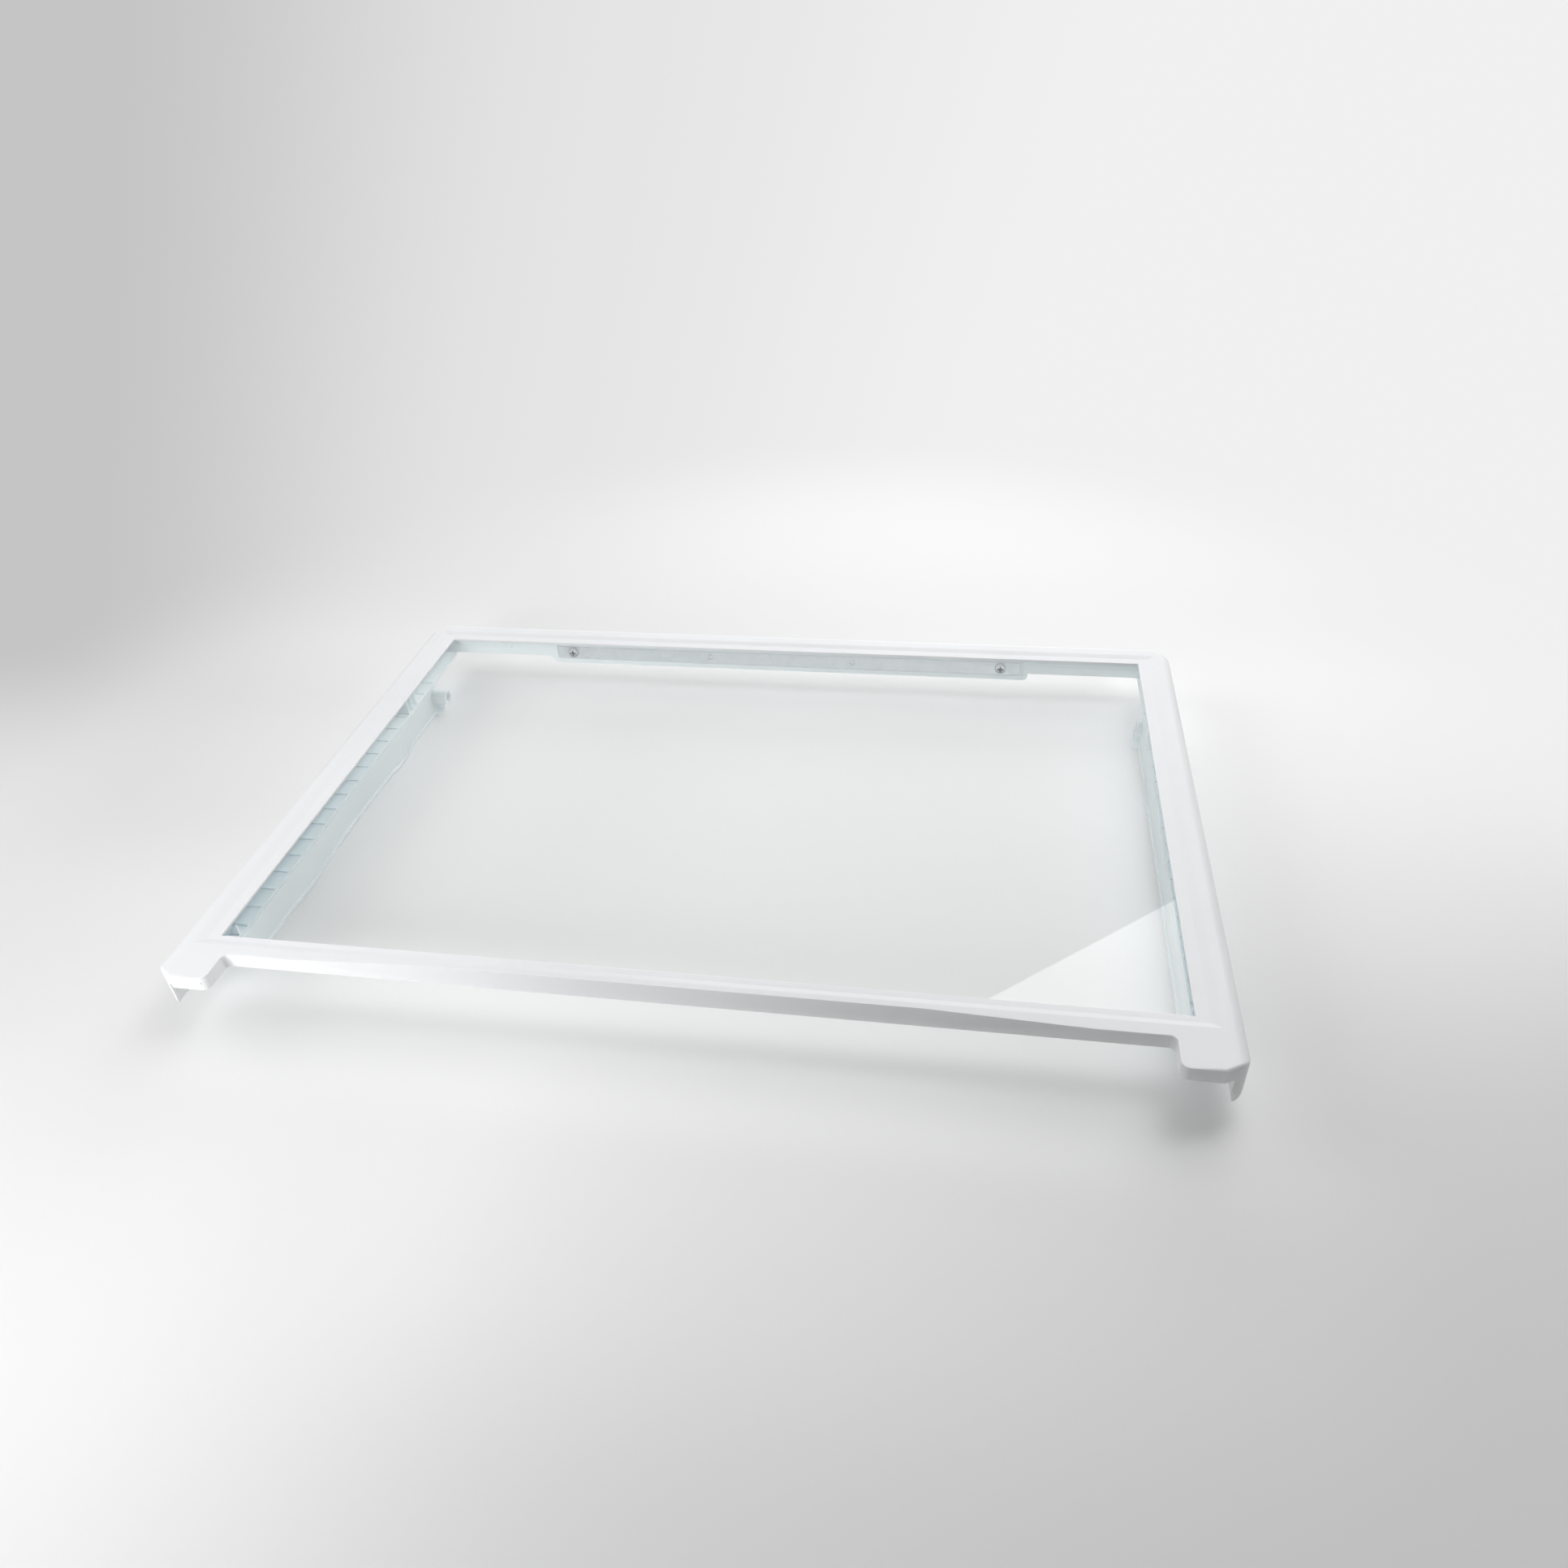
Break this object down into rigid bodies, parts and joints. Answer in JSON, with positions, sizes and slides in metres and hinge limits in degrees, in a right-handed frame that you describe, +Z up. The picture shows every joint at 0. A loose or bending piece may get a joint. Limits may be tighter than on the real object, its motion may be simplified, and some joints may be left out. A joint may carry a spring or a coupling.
{
  "type": "refrigerator shelf",
  "caption": "Glass refrigerator shelf with a white moulded border, ears at the front corners, a steel stiffener strip and clear drawer rails underneath.",
  "frame": {"origin": "centre of the footprint, at the height of the rails' lowest point", "axes": "+X across the shelf to the right, +Y to the rear, +Z up"},
  "size_m": [0.654, 0.452, 0.048],
  "materials": {
    "white_plastic": "moulded, satin gloss",
    "clear_glass": "polished float glass",
    "galvanised_steel": "zinc coated, dull",
    "screw_steel": "zinc plated",
    "milky_plastic": "translucent, milky"
  },
  "bodies": {
    "root": {"frame": "white_plastic", "glass_pane": "clear_glass", "stiffener_strip": "galvanised_steel", "screw_left": "screw_steel", "screw_right": "screw_steel", "rail_left": "milky_plastic", "rail_right": "milky_plastic"}
  },
  "joints": []
}
